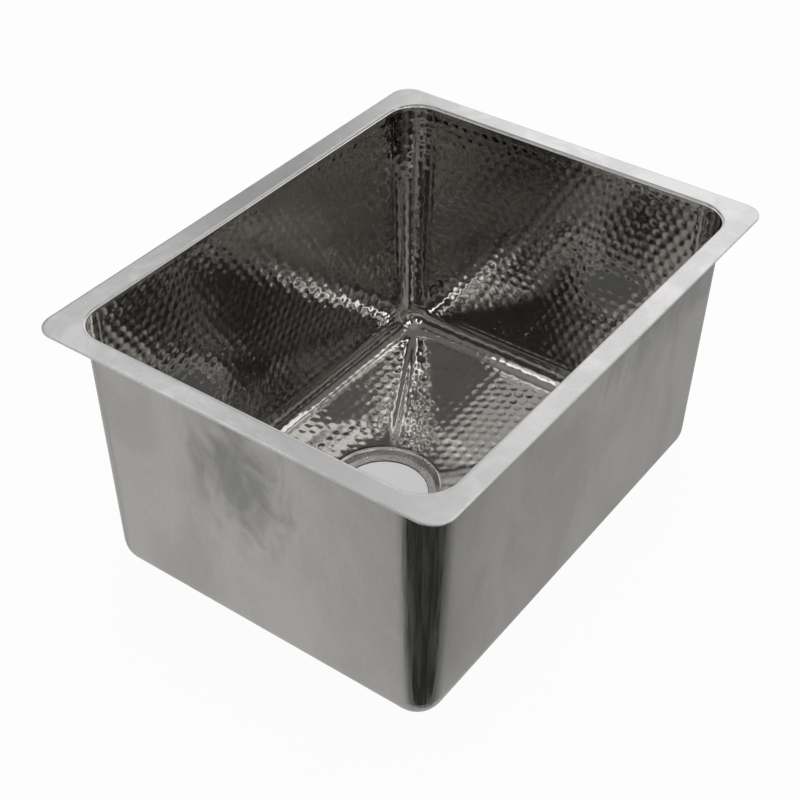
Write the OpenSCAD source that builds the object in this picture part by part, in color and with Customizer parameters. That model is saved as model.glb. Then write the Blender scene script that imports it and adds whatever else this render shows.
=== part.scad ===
// Undermount kitchen sink, built up from hammered stainless sheet.
// The bowl is welded from a rolled rim, four leaning wall sheets, four rolled corner sheets,
// a pressed floor pan and a pressed drain cup. Every seam is a butt seam, ground flush.
// X runs left to right, Y from front to rear, Z up. The origin is under the middle of the
// rim, on the surface that the drain cup stands on.

/* [Rim] */
// Overall length of the rim, left to right
rim_length = 540; // [460:1:700]
// Overall width of the rim, front to rear
rim_width = 420; // [370:1:560]
// Width of the rim from its outer edge to the top of the wall
rim_flange = 22.5; // [15:0.5:40]
// Radius of the rim's four outer corners
rim_corner_r = 20; // [4:1:40]
// Radius of the rolled lip, measured on its visible face
lip_r = 3; // [2:0.5:6]

/* [Sheet] */
// Thickness of the stainless sheet
sheet_t = 1.5; // [0.9:0.1:2.5]

/* [Bowl] */
// Depth from the top of the rim to the foot of the floor
bowl_depth = 276; // [150:1:330]
// Lean of the walls from upright, in degrees
wall_lean = 1.8; // [0.5:0.1:4]
// Inside radius of the bend between wall and floor
foot_r = 25; // [12:1:40]
// How much larger than that the upright corners' inside radius is, at the foot of the wall
corner_extra = 0; // [0:1:20]

/* [Floor] */
// Fall of the floor from the foot of the walls to the drain's axis
floor_fall = 10; // [4:0.5:16]
// Width of the level band round the drain recess
level_band = 3; // [1:0.5:8]
// Width over which the four floor slopes run into the level band
slope_blend = 24; // [12:1:28]

/* [Drain] */
// Diameter of the drain hole
drain_d = 90; // [80:0.5:94]
// Diameter of the pressed drain recess
recess_d = 117; // [112:0.5:126]
// Depth of the recess from the level band to the seat
recess_depth = 7.5; // [5:0.5:12]
// Slope of the recess wall, in degrees from level
recess_slope = 70; // [55:1:80]
// Radius of the recess shoulder, measured on its visible face
shoulder_r = 4; // [2:0.5:6]
// Radius between the recess wall and the seat, measured on its visible face
seat_r = 1.5; // [0.5:0.5:3]
// How far the drain lies behind the middle of the bowl
drain_set_back = 38.5; // [0:0.5:50]

/* [Hidden] */
$fn = 96;

steel = [0.66, 0.65, 0.63];
steel_light = [0.80, 0.79, 0.78];
steel_dark = [0.52, 0.51, 0.49];

// Levels, from the surface that the sink stands on
seat_top = sheet_t;
drain_top = seat_top + recess_depth;

// The wall's section in the plane of a corner's axis: u outwards, z up
foot_u = corner_extra;
foot_end_u = foot_u + foot_r * cos(wall_lean);

wall_rise = bowl_depth - (lip_r + foot_r) * (1 - sin(wall_lean));
wall_top_u = foot_end_u + wall_rise * tan(wall_lean);
lip_u = wall_top_u + lip_r * cos(wall_lean);

// Axes of the four corners, which are also the corners of the sloping floor
axis_x = rim_length / 2 - rim_flange - wall_top_u;
axis_y = rim_width / 2 - rim_flange - wall_top_u;

// The floor's slopes all point at the drain's axis. The left and right slopes set the
// level of the band round the recess.
recess_r = recess_d / 2;
floor_z = drain_top + floor_fall * (1 - recess_r / axis_x);
rim_top = floor_z + bowl_depth;
foot_centre = [foot_u, floor_z + foot_r];
lip_centre = [lip_u, rim_top - lip_r];

// A unit vector at an angle
function dir(a) = [cos(a), sin(a)];

// The normal of the wall's visible face, and the two ends of that face
into_bowl = [-cos(wall_lean), sin(wall_lean)];
wall_foot = foot_centre - foot_r * into_bowl;
wall_head = lip_centre + lip_r * into_bowl;

// A bent strip of sheet: the part of a ring between two angles less than half a turn apart
module bend(centre, r_in, r_out, from, to) {
    reach = 2 * r_out;
    translate(centre)
        intersection() {
            difference() {
                circle(r_out);
                circle(r_in);
            }
            polygon([[0, 0], reach * dir(from), reach * dir((from + to) / 2), reach * dir(to)]);
        }
}

// A straight strip of sheet from a to b, its thickness laid off along n
module strip(a, b, n) {
    polygon([a, b, b + sheet_t * n, a + sheet_t * n]);
}

module wall_section() {
    strip(wall_foot, wall_head, -into_bowl);
}

module foot_section() {
    bend(foot_centre, foot_r, foot_r + sheet_t, -90, -wall_lean);
}

// The level strip inside the foot's bend, where the corners are rounder than the bend
module ledge_section() {
    translate([0, floor_z - sheet_t])
        square([foot_u, sheet_t]);
}

module lip_section() {
    bend(lip_centre, lip_r - sheet_t, lip_r, 90, 180 - wall_lean);
}

// Carries a section straight along one side of the bowl. side 0 is right, 1 rear, 2 left, 3 front.
module along_side(side) {
    reach = side % 2 == 0 ? axis_x : axis_y;
    run = side % 2 == 0 ? axis_y : axis_x;
    rotate([0, 0, 90 * side])
        translate([reach, 0, 0])
            rotate([90, 0, 0])
                linear_extrude(height = 2 * run, center = true)
                    children();
}

// Turns a section round one corner of the bowl. corner 0 is rear right, then against the clock.
module round_corner(corner) {
    side_x = corner == 0 || corner == 3 ? 1 : -1;
    side_y = corner < 2 ? 1 : -1;
    translate([side_x * axis_x, side_y * axis_y, 0])
        rotate([0, 0, 90 * corner])
            rotate_extrude(angle = 90)
                children();
}

// A rectangle with round corners, given by the corner centres' reach and the radius
module round_rectangle(reach_x, reach_y, r) {
    square([2 * reach_x, 2 * (reach_y + r)], center = true);
    square([2 * (reach_x + r), 2 * reach_y], center = true);
    for (x = [-reach_x, reach_x], y = [-reach_y, reach_y])
        translate([x, y])
            circle(r);
}

// The rim: one flat frame whose inner edge is rolled down into the bowl
module rim_flange() {
    color(steel_light) {
        translate([0, 0, rim_top - sheet_t])
            linear_extrude(height = sheet_t)
                difference() {
                    round_rectangle(rim_length / 2 - rim_corner_r, rim_width / 2 - rim_corner_r, rim_corner_r);
                    round_rectangle(axis_x, axis_y, lip_u);
                }
        for (side = [0:3]) {
            along_side(side) lip_section();
            round_corner(side) lip_section();
        }
    }
}

// The walls: flat sheets that lean outwards
module wall(side) {
    color(steel) along_side(side) wall_section();
}

module right_wall() { wall(0); }
module rear_wall() { wall(1); }
module left_wall() { wall(2); }
module front_wall() { wall(3); }

// The corners: sheets rolled to a quarter cone, wider at the rim than at the foot
module wall_corner(corner) {
    color(steel_dark) round_corner(corner) wall_section();
}

module rear_right_corner() { wall_corner(0); }
module rear_left_corner() { wall_corner(1); }
module front_left_corner() { wall_corner(2); }
module front_right_corner() { wall_corner(3); }

// The sloping floor is laid out on rays from the drain's axis to its four straight edges.
// Both ends of an edge are rays, so the creases between the slopes stay sharp.
rays_per_side = 16;
blend_rings = 3;
ray_count = 4 * rays_per_side;
inner_r = recess_r - 4;
floor_corners = [[axis_x, -axis_y], [axis_x, axis_y], [-axis_x, axis_y], [-axis_x, -axis_y]];
drain_axis = [0, drain_set_back];

function edge_point(i) =
    let (side = floor(i / rays_per_side), k = (i % rays_per_side) / rays_per_side)
    (1 - k) * floor_corners[side] + k * floor_corners[(side + 1) % 4];

function ease(t) = t * t * (3 - 2 * t);

// A point at radius r on ray i, t of the way from the level band to the free slope
function slope_point(i, r, t) =
    let (
        ray = edge_point(i) - drain_axis,
        along = r / norm(ray),
        free = floor_z - floor_fall * (1 - along),
        p = drain_axis + along * ray
    )
    [p[0], p[1], (1 - ease(t)) * drain_top + ease(t) * free];

function edge_of_floor(i) = [edge_point(i)[0], edge_point(i)[1], floor_z];

// Rings of points from the drain outwards
floor_rings = concat(
    [[for (i = [0:ray_count - 1]) slope_point(i, inner_r, 0)]],
    [for (j = [0:blend_rings])
        [for (i = [0:ray_count - 1])
            slope_point(i, recess_r + level_band + slope_blend * j / blend_rings, j / blend_rings)]],
    [[for (i = [0:ray_count - 1]) edge_of_floor(i)]]
);
ring_count = len(floor_rings);

function lower(p) = [p[0], p[1], p[2] - sheet_t];

// Point number on the upper face, and on the lower face
function up(j, i) = j * ray_count + i % ray_count;
function down(j, i) = ring_count * ray_count + up(j, i);

module sloping_floor() {
    upper = [for (ring = floor_rings) each ring];
    last = ring_count - 1;
    polyhedron(
        points = concat(upper, [for (p = upper) lower(p)]),
        faces = [
            for (i = [0:ray_count - 1]) each concat(
                [for (j = [0:last - 1]) each [
                    [up(j, i), up(j, i + 1), up(j + 1, i + 1)],
                    [up(j, i), up(j + 1, i + 1), up(j + 1, i)],
                    [down(j, i), down(j + 1, i + 1), down(j, i + 1)],
                    [down(j, i), down(j + 1, i), down(j + 1, i + 1)]
                ]],
                [
                    [up(0, i), down(0, i), down(0, i + 1)],
                    [up(0, i), down(0, i + 1), up(0, i + 1)],
                    [up(last, i), down(last, i + 1), down(last, i)],
                    [up(last, i), up(last, i + 1), down(last, i + 1)]
                ]
            )
        ]
    );
}

// The floor pan: four slopes with creases from the corners to the drain, and a coved edge
// that turns up all round with a ball corner at each end
module floor_pan() {
    color(steel) {
        difference() {
            sloping_floor();
            translate([drain_axis[0], drain_axis[1], 0])
                cylinder(h = rim_top, r = recess_r);
        }
        for (side = [0:3]) {
            along_side(side) foot_section();
            round_corner(side) foot_section();
            if (foot_u > 0) {
                along_side(side) ledge_section();
                round_corner(side) ledge_section();
            }
        }
    }
}

// The drain cup's section: a flat seat, a bend up, a sloping wall and a round shoulder
shoulder_centre = [recess_r, drain_top - shoulder_r];
slope_out = [-sin(recess_slope), cos(recess_slope)];
slope_run = [cos(recess_slope), sin(recess_slope)];
bend_fall = (seat_r + shoulder_r) * (1 - cos(recess_slope));
slope_length = (recess_depth - bend_fall) / sin(recess_slope);
slope_head = shoulder_centre + shoulder_r * slope_out;
slope_foot = slope_head - slope_length * slope_run;
seat_centre = slope_foot + seat_r * slope_out;
drain_r = drain_d / 2;
bend_steps = 8;

function arc(centre, r, from, to) =
    [for (k = [0:bend_steps]) centre + r * dir(from + (to - from) * k / bend_steps)];

cup_outline = concat(
    [[drain_r, 0], [drain_r, sheet_t]],
    arc(seat_centre, seat_r, -90, recess_slope - 90),
    arc(shoulder_centre, shoulder_r, 90 + recess_slope, 90),
    arc(shoulder_centre, shoulder_r - sheet_t, 90, 90 + recess_slope),
    arc(seat_centre, seat_r + sheet_t, recess_slope - 90, -90)
);

// The drain cup: a pressed dish with the drain hole, welded into the floor pan
module drain_cup() {
    color(steel_light)
        translate([drain_axis[0], drain_axis[1], 0])
            rotate_extrude()
                polygon(cup_outline);
}

rim_flange();
front_wall();
rear_wall();
left_wall();
right_wall();
front_left_corner();
front_right_corner();
rear_left_corner();
rear_right_corner();
floor_pan();
drain_cup();
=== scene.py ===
"""Looks of a hammered stainless steel kitchen sink, built around its CAD frame.

The bowl's sheets are made again here with their hammer marks, the rim and the drain cup with
their fine bends, and each gets its finish. Everything is in metres, in the frame's own axes:
X left to right, Y front to rear, Z up.
"""
import logging
import math
from dataclasses import dataclass, field, replace
from enum import Enum
from typing import Any

import bpy
import numpy as np
from mathutils import Matrix, Vector


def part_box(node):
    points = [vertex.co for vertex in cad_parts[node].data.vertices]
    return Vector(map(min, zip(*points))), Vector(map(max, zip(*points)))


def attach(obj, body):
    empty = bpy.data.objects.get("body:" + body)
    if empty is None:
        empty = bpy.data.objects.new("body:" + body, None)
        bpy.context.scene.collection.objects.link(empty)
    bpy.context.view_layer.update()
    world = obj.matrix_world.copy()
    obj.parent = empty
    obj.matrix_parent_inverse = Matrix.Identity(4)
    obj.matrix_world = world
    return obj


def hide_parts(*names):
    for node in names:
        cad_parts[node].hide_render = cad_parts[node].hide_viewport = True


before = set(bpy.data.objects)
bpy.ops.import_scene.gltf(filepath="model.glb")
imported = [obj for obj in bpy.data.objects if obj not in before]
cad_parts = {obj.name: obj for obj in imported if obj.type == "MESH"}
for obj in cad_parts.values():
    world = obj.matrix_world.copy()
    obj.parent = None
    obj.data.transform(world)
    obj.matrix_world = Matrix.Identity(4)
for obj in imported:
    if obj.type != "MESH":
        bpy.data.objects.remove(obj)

log = logging.getLogger("sink")
BODY = "root"
UP = np.array([0.0, 0.0, 1.0])
SHARP = math.radians(38)


# Sizes of the sink

@dataclass(frozen=True)
class SinkSizes:
    """Driving sizes of the sink in metres and radians, and the levels that follow from them.

    The rim's length, width and height come from the frame. The rest are the sizes of the sheet
    and its bends.
    """
    half_length: float
    half_width: float
    rim_top: float
    sheet: float = 0.0015
    flange: float = 0.0225
    rim_corner: float = 0.020
    lip: float = 0.003
    depth: float = 0.276
    lean: float = math.radians(1.8)
    foot: float = 0.025
    floor_fall: float = 0.010
    level_band: float = 0.003
    slope_blend: float = 0.045
    drain_radius: float = 0.045
    recess_radius: float = 0.0585
    recess_depth: float = 0.0075
    recess_slope: float = math.radians(70)
    shoulder: float = 0.004
    seat_bend: float = 0.0015
    drain_back: float = 0.0385

    @classmethod
    def from_frame(cls) -> "SinkSizes":
        """Reads the rim's outline and height from the frame.

        Returns:
            The sizes of the sink that the frame holds.
        """
        low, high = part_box("rim_flange")
        return cls(half_length=(high.x - low.x) / 2, half_width=(high.y - low.y) / 2, rim_top=high.z)

    @property
    def floor_level(self) -> float:
        """Level of the floor at the foot of the walls."""
        return self.rim_top - self.depth

    @property
    def drain_top(self) -> float:
        """Level of the flat band round the drain recess."""
        return self.sheet + self.recess_depth

    @property
    def foot_arc(self) -> float:
        """Length of the foot's bend, from the floor up to the wall."""
        return self.foot * (math.pi / 2 - self.lean)

    @property
    def wall_height(self) -> float:
        """Length of the flat wall, measured up its slope."""
        rise = self.depth - (self.lip + self.foot) * (1 - math.sin(self.lean))
        return rise / math.cos(self.lean)

    @property
    def lip_reach(self) -> float:
        """Distance of the lip's centre from the corner's axis."""
        wall_top = self.foot * math.cos(self.lean) + self.wall_height * math.sin(self.lean)
        return wall_top + self.lip * math.cos(self.lean)

    @property
    def axis(self) -> tuple[float, float]:
        """Distances of the corner axes from the middle, along X and Y."""
        inset = self.flange + self.lip_reach - self.lip * math.cos(self.lean)
        return (self.half_length - inset, self.half_width - inset)

    def wall_line(self, up: np.ndarray, back: float = 0.0) -> tuple[np.ndarray, np.ndarray]:
        """Gives points of the wall's section.

        Args:
            up: Distances up the wall from the top of the foot's bend.
            back: Distance behind the visible face.

        Returns:
            The distance out from the corner's axis and the level of each point.
        """
        out = self.foot * math.cos(self.lean) + up * math.sin(self.lean) + back * math.cos(self.lean)
        rise = self.foot * (1 - math.sin(self.lean)) + up * math.cos(self.lean) - back * math.sin(self.lean)
        return out, self.floor_level + rise

    def foot_line(self, arc: np.ndarray, back: float = 0.0) -> tuple[np.ndarray, np.ndarray]:
        """Gives points of the foot's bend.

        Args:
            arc: Distances along the bend from the floor.
            back: Distance behind the visible face.

        Returns:
            The distance out from the corner's axis and the level of each point.
        """
        turn = arc / self.foot
        radius = self.foot + back
        return radius * np.sin(turn), self.floor_level + self.foot - radius * np.cos(turn)

    def floor_shares(self, x: np.ndarray, y: np.ndarray) -> tuple[np.ndarray, np.ndarray, np.ndarray]:
        """Gives how far out each place on the floor lies.

        Args:
            x: Places along the length.
            y: Places along the width.

        Returns:
            Shares of the way from the drain's axis to the walls, along X and along Y, and the
            distance from the nearest crease, where the two are alike.
        """
        axis_x, axis_y = self.axis
        back = y - self.drain_back
        run_y = np.where(back > 0, axis_y - self.drain_back, axis_y + self.drain_back)
        share_x, share_y = np.abs(x) / axis_x, np.abs(back) / run_y
        return share_x, share_y, np.abs(share_x - share_y) / np.hypot(1 / axis_x, 1 / run_y)

    def floor_height(self, x: np.ndarray, y: np.ndarray) -> np.ndarray:
        """Height of the floor's upper face.

        Args:
            x: Places along the length.
            y: Places along the width.

        Returns:
            The level at each place: four slopes that fall to the drain's axis and run out into
            the level band round the recess.
        """
        share_x, share_y, _ = self.floor_shares(x, y)
        slope = self.floor_level - self.floor_fall * (1 - np.maximum(share_x, share_y))
        run = (np.hypot(x, y - self.drain_back) - self.recess_radius - self.level_band) / self.slope_blend
        ease = eased(run)
        return (1 - ease) * self.drain_top + ease * slope


class Side(Enum):
    """The four walls, each with its quarter turns from the right wall."""
    RIGHT = 0
    REAR = 1
    LEFT = 2
    FRONT = 3

    @property
    def outwards(self) -> np.ndarray:
        """Level direction that the wall's outer face looks in."""
        turn = self.value * math.pi / 2
        return np.array([round(math.cos(turn)), round(math.sin(turn)), 0.0])

    @property
    def across(self) -> np.ndarray:
        """The axis that runs along the wall."""
        return np.abs(self.outwards[[1, 0, 2]])

    @property
    def end_on(self) -> int:
        """The axis that the wall faces: 0 for X, 1 for Y."""
        return self.value % 2

    @property
    def node(self) -> str:
        """Name of the wall's CAD node."""
        return f"{self.name.lower()}_wall"


class Corner(Enum):
    """The four upright corners, each with its quarter turns from the rear right one."""
    REAR_RIGHT = 0
    REAR_LEFT = 1
    FRONT_LEFT = 2
    FRONT_RIGHT = 3

    @property
    def signs(self) -> np.ndarray:
        """Signs of the corner's axis along X and Y."""
        return np.array([1 if self.value in (0, 3) else -1, 1 if self.value < 2 else -1])

    @property
    def node(self) -> str:
        """Name of the corner's CAD node."""
        return f"{self.name.lower()}_corner"

    def directions(self, turns: np.ndarray) -> np.ndarray:
        """Level directions out from the corner's axis.

        Args:
            turns: Shares of the quarter turn, from 0 to 1.

        Returns:
            One direction for each share.
        """
        angles = (self.value + turns) * math.pi / 2
        return np.stack([np.cos(angles), np.sin(angles), np.zeros_like(angles)], -1)


def eased(share: np.ndarray) -> np.ndarray:
    """Rises from 0 to 1 as its argument does, with level ends."""
    share = np.clip(share, 0, 1)
    return share * share * (3 - 2 * share)


def marks_out(length: float, spacing: float, multiple: int = 1) -> np.ndarray:
    """Divides a length into equal steps.

    Args:
        length: The length.
        spacing: Longest step.
        multiple: Number that the count of steps is a multiple of.

    Returns:
        The ends of the steps, from 0 to the length.
    """
    count = multiple * max(1, math.ceil(length / spacing / multiple))
    return np.linspace(0, length, count + 1)


# Node graphs

class Wire:
    """One socket of a node graph, on which arithmetic adds Math nodes."""

    def __init__(self, graph: "Graph", socket: bpy.types.NodeSocket) -> None:
        """Keeps the graph and the socket that the wire leaves."""
        self.graph = graph
        self.socket = socket

    def math(self, operation: str, *others: Any, clamp: bool = False) -> "Wire":
        """Adds a Math node.

        Args:
            operation: The node's operation.
            others: Its inputs in order, all of them.
            clamp: Whether the result is held between 0 and 1.

        Returns:
            The node's result.
        """
        settings = {"operation": operation, "use_clamp": clamp}
        return self.graph.node("ShaderNodeMath", settings, dict(enumerate(others)))

    def __add__(self, other: Any) -> "Wire":
        """Sum of the two."""
        return self.math("ADD", self, other)

    def __sub__(self, other: Any) -> "Wire":
        """This less the other."""
        return self.math("SUBTRACT", self, other)

    def __rsub__(self, other: Any) -> "Wire":
        """The other less this."""
        return self.math("SUBTRACT", other, self)

    def __mul__(self, other: Any) -> "Wire":
        """Product of the two."""
        return self.math("MULTIPLY", self, other)

    def __truediv__(self, other: Any) -> "Wire":
        """This over the other."""
        return self.math("DIVIDE", self, other)

    def __pow__(self, other: Any) -> "Wire":
        """This to the power of the other."""
        return self.math("POWER", self, other)

    def __mod__(self, other: Any) -> "Wire":
        """What is left of this after whole others."""
        return self.math("MODULO", self, other)

    def larger(self, other: Any) -> "Wire":
        """The larger of the two."""
        return self.math("MAXIMUM", self, other)

    def rounded(self, operation: str) -> "Wire":
        """This as a whole number, by FLOOR or CEIL."""
        return self.math(operation, self)

    def held(self) -> "Wire":
        """This held between 0 and 1."""
        return self.math("ADD", self, 0.0, clamp=True)

    def between(self, low: float, high: float) -> "Wire":
        """Eased share of the way from low to high.

        Args:
            low: Value that gives 0.
            high: Value that gives 1.

        Returns:
            A value from 0 to 1 with level ends.
        """
        inputs = {"Value": self, "From Min": low, "From Max": high, "To Min": 0.0, "To Max": 1.0}
        return self.graph.node("ShaderNodeMapRange", {"interpolation_type": "SMOOTHSTEP"}, inputs)


class Graph:
    """A node tree that is filled in by short expressions."""

    def __init__(self, tree: bpy.types.NodeTree) -> None:
        """Empties the tree and keeps it."""
        self.tree = tree
        tree.nodes.clear()

    def node(self, kind: str, settings: dict[str, Any] | None = None,
             inputs: dict[str | int, Any] | None = None, output: str | int = 0) -> Wire | None:
        """Adds a node.

        Args:
            kind: The node's type name.
            settings: Its settings, set first.
            inputs: Values or wires for its sockets, by identifier or number.
            output: The socket to return, by identifier or number.

        Returns:
            A wire from that output, or nothing for a node without outputs.
        """
        made = self.tree.nodes.new(kind)
        for name, value in (settings or {}).items():
            setattr(made, name, value)
        for key, value in (inputs or {}).items():
            socket = self._find(made.inputs, key)
            if isinstance(value, Wire):
                self.tree.links.new(value.socket, socket)
            else:
                socket.default_value = value
        return Wire(self, self._find(made.outputs, output)) if len(made.outputs) else None

    @staticmethod
    def _find(sockets: Any, key: str | int) -> bpy.types.NodeSocket:
        """Finds a socket.

        Args:
            sockets: A node's inputs or outputs.
            key: The socket's number or identifier.

        Returns:
            The socket.
        """
        if isinstance(key, int):
            return sockets[key]
        return next(socket for socket in sockets if socket.identifier == key)


class ShaderGraph(Graph):
    """A material's or the world's node graph."""

    def noise(self, scale: float, detail: float, stretch: tuple[float, float, float] = (1, 1, 1),
              warp: float = 0.0) -> Wire:
        """Adds a noise on object coordinates.

        Args:
            scale: Lumps in a metre.
            detail: Finer layers added.
            stretch: Factor on each axis: a small one draws the lumps out along it.
            warp: How much the lumps are bent.

        Returns:
            The noise, about 0.5 on average.
        """
        place = self.node("ShaderNodeTexCoord", output="Object")
        place = self.node("ShaderNodeMapping", {"vector_type": "POINT"}, {"Vector": place, "Scale": stretch})
        inputs = {"Vector": place, "Scale": scale, "Detail": detail, "Roughness": 0.55, "Distortion": warp}
        return self.node("ShaderNodeTexNoise", {"noise_dimensions": "3D"}, inputs)

    def tint(self, share: Wire, low: Wire | tuple[float, ...], high: Wire | tuple[float, ...]) -> Wire:
        """Mixes two colours.

        Args:
            share: Share of the second one, from 0 to 1.
            low: The first, a wire or three numbers.
            high: The second.

        Returns:
            The mixed colour.
        """
        low, high = (tone if isinstance(tone, Wire) else (*tone, 1.0) for tone in (low, high))
        inputs = {"Factor_Float": share, "A_Color": low, "B_Color": high}
        return self.node("ShaderNodeMix", {"data_type": "RGBA"}, inputs, "Result_Color")


def new_material(name: str) -> tuple[bpy.types.Material, ShaderGraph]:
    """Makes a material.

    Args:
        name: The material's name.

    Returns:
        The material and its empty node graph.
    """
    material = bpy.data.materials.new(name)
    material.use_nodes = True
    return material, ShaderGraph(material.node_tree)


# Finishes

@dataclass(frozen=True)
class ShadeCloud:
    """A darker cloud of painted shade on a face, with a soft and swirling edge.

    Attributes:
        centre: Its middle.
        reach: Half its size along each axis.
        depth: How dark its middle is, from 0 to 1.
    """
    centre: tuple[float, float, float]
    reach: tuple[float, float, float]
    depth: float

    EDGE = (0.2, 1.1)

    def share(self, graph: ShaderGraph, swirl: Wire) -> Wire:
        """Gives how dark a point is.

        Args:
            graph: The material's graph.
            swirl: How far the edge strays there, as a share of the reach.

        Returns:
            A value from 0 outside to the depth in the middle.
        """
        place = graph.node("ShaderNodeTexCoord", output="Object")
        place = graph.node("ShaderNodeVectorMath", {"operation": "SUBTRACT"}, {0: place, 1: self.centre})
        place = graph.node("ShaderNodeVectorMath", {"operation": "DIVIDE"}, {0: place, 1: self.reach})
        away = graph.node("ShaderNodeVectorMath", {"operation": "LENGTH"}, {0: place}, "Value")
        return (1 - (away + swirl).between(*self.EDGE)) * self.depth


@dataclass(frozen=True)
class SteelFinish:
    """A metal finish: two tones that drift into each other, and a gloss with its own drift.

    Attributes:
        name: The material's name.
        pale: Colour of the lighter patches.
        deep: Colour of the darker patches.
        smooth: Roughness of the glossier patches.
        rough: Roughness of the duller ones.
        cloud: Patches in a metre.
        stretch: Factor on each axis of the patches.
        warp: How much the patches swirl.
        grain: Brush lines in a metre.
        grain_stretch: Factor on each axis of the brush lines.
        grain_depth: Depth of the brush lines.
        ripple: Ripples in a metre.
        ripple_depth: Depth of the ripples.
        dark: Colour of the clouds of painted shade and of the painted dark reflection on the polished
            corners.
        shade_clouds: Darker clouds of painted shade.
        corner_at: Where given, distances of the corner axes, whose bends are polished and darkened with a
            painted dark reflection.
    """
    name: str
    pale: tuple[float, float, float]
    deep: tuple[float, float, float]
    smooth: float
    rough: float
    cloud: float
    stretch: tuple[float, float, float] = (1, 1, 1)
    warp: float = 0.0
    grain: float = 1000.0
    grain_stretch: tuple[float, float, float] = (1, 1, 1)
    grain_depth: float = 0.000002
    ripple: float = 60.0
    ripple_depth: float = 0.0
    # Colour of the clouds of painted shade and of the painted dark reflection on the corners.
    dark: tuple[float, float, float] = (0.34, 0.335, 0.32)
    shade_clouds: tuple[ShadeCloud, ...] = ()
    corner_at: tuple[float, float] | None = None

    PATCH_TONES = (0.34, 0.66)
    LINE_TONES = (0.3, 0.7)
    LINE_SHARE = 0.35
    SWIRLS = 24.0
    SWIRL_REACH = 1.4
    CORNER_EASE = 0.010
    CORNER_LUMPS = 28.0
    CORNER_DRIFT = 0.004
    STREAKS = 260.0
    STREAK_GLOSS = (0.65, 0.05)
    # Share of the painted dark reflection on a polished corner: a gain on its streaks, and the least share.
    STREAK_PAINTED_REFLECTION = (0.5, 0.3)
    FLUTES = 120.0
    FLUTE_DEPTH = 0.0004

    def _corner_share(self, graph: ShaderGraph) -> Wire:
        """Gives how far a point lies on the polished middle of an upright corner, which also carries a
        painted dark reflection.

        Args:
            graph: The material's graph.

        Returns:
            A value from 0 outside to 1 on the polished middle.
        """
        drift = (graph.noise(self.CORNER_LUMPS, 3.0, (1, 1, 0.5)) - 0.5) * self.CORNER_DRIFT
        place = graph.node("ShaderNodeTexCoord", output="Object")
        parts = []
        for name, at in zip("XY", self.corner_at):
            along = graph.node("ShaderNodeSeparateXYZ", None, {"Vector": place}, name)
            parts.append((along * along + drift).between(at ** 2, (at + self.CORNER_EASE) ** 2))
        return parts[0] * parts[1]

    def material(self) -> bpy.types.Material:
        """Builds the material once.

        Returns:
            The material, the same one each time.
        """
        found = bpy.data.materials.get(self.name)
        if found:
            return found
        material, graph = new_material(self.name)
        patches = graph.noise(self.cloud, 3.0, self.stretch, self.warp).between(*self.PATCH_TONES)
        lines = graph.noise(self.grain, 2.0, self.grain_stretch)
        tone = patches * (1 - self.LINE_SHARE) + lines.between(*self.LINE_TONES) * self.LINE_SHARE
        tone = tone.held()
        height = lines * self.grain_depth
        if self.ripple_depth:
            height = height + graph.noise(self.ripple, 1.5) * self.ripple_depth
        colour = graph.tint(tone, self.deep, self.pale)
        rough = tone * (self.smooth - self.rough) + self.rough
        # Clouds of painted shade, darkest in their middles.
        if self.shade_clouds:
            swirl = (graph.noise(self.SWIRLS, 3.0, (1, 1, 0.6), 2.0) - 0.5) * self.SWIRL_REACH
            for shade_cloud in self.shade_clouds:
                colour = graph.tint(shade_cloud.share(graph, swirl), colour, self.dark)
        if self.corner_at:
            polish_and_reflection = self._corner_share(graph)
            streaks = graph.noise(self.STREAKS, 2.0, (1, 1, 0.04)).between(*self.LINE_TONES)
            gain, least = self.STREAK_GLOSS
            rough = rough * (1 - polish_and_reflection * (streaks * gain + least))
            # Painted dark reflection in streaks down the polished corners.
            gain, least = self.STREAK_PAINTED_REFLECTION
            colour = graph.tint(polish_and_reflection * (streaks * gain + least), colour, self.dark)
            height = height + polish_and_reflection * graph.noise(self.FLUTES, 2.0, (1, 1, 0.12)) * self.FLUTE_DEPTH
        bump = graph.node("ShaderNodeBump", None, {"Strength": 1.0, "Distance": 1.0, "Height": height})
        shader = graph.node("ShaderNodeBsdfPrincipled", None, {
            "Metallic": 1.0,
            "Base Color": colour,
            "Roughness": rough,
            "Normal": bump,
        })
        graph.node("ShaderNodeOutputMaterial", None, {"Surface": shader})
        return material


HAMMERED_INSIDE = SteelFinish("hammered_inside", (0.64, 0.63, 0.61), (0.57, 0.56, 0.54), 0.05, 0.09, 18.0,
                              grain=700.0)
SATIN_OUTSIDE = SteelFinish("satin_outside", (0.63, 0.62, 0.59), (0.52, 0.51, 0.485), 0.32, 0.40, 11.0,
                            (1, 1, 0.5), 0.7, 800.0, (1, 1, 0.12), 0.000006,
                            # Clouds of painted shade near the top of the left and front faces.
                            shade_clouds=(ShadeCloud((-0.232, 0.008, 0.214), (0.05, 0.065, 0.095), 1.0),
                                     ShadeCloud((0.13, -0.175, 0.260), (0.16, 0.05, 0.060), 0.7)))
# The rim's steel, paler than the bowl's: its pale colour is painted light.
SATIN_RIM_PAINTED_LIGHT = SteelFinish("satin_rim_painted_light", (0.84, 0.83, 0.825), (0.76, 0.75, 0.75), 0.20, 0.28, 26.0,
                        (1, 1, 1), 0.8, 1400.0, (0.2, 1, 1), 0.000004, 55.0, 0.00012)
# The drain cup's steel, paler than the bowl's: its pale colour is painted light.
POLISHED_CUP_PAINTED_LIGHT = SteelFinish("polished_cup_painted_light", (0.90, 0.89, 0.87), (0.83, 0.82, 0.80), 0.20, 0.30, 30.0,
                           grain=900.0)
# The hole's cut edge, coloured dark as painted shade.
CUT_EDGE_PAINTED_SHADE = SteelFinish("cut_edge_painted_shade", (0.16, 0.155, 0.15), (0.12, 0.115, 0.11), 0.45, 0.55, 60.0)


# Sheets

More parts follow.
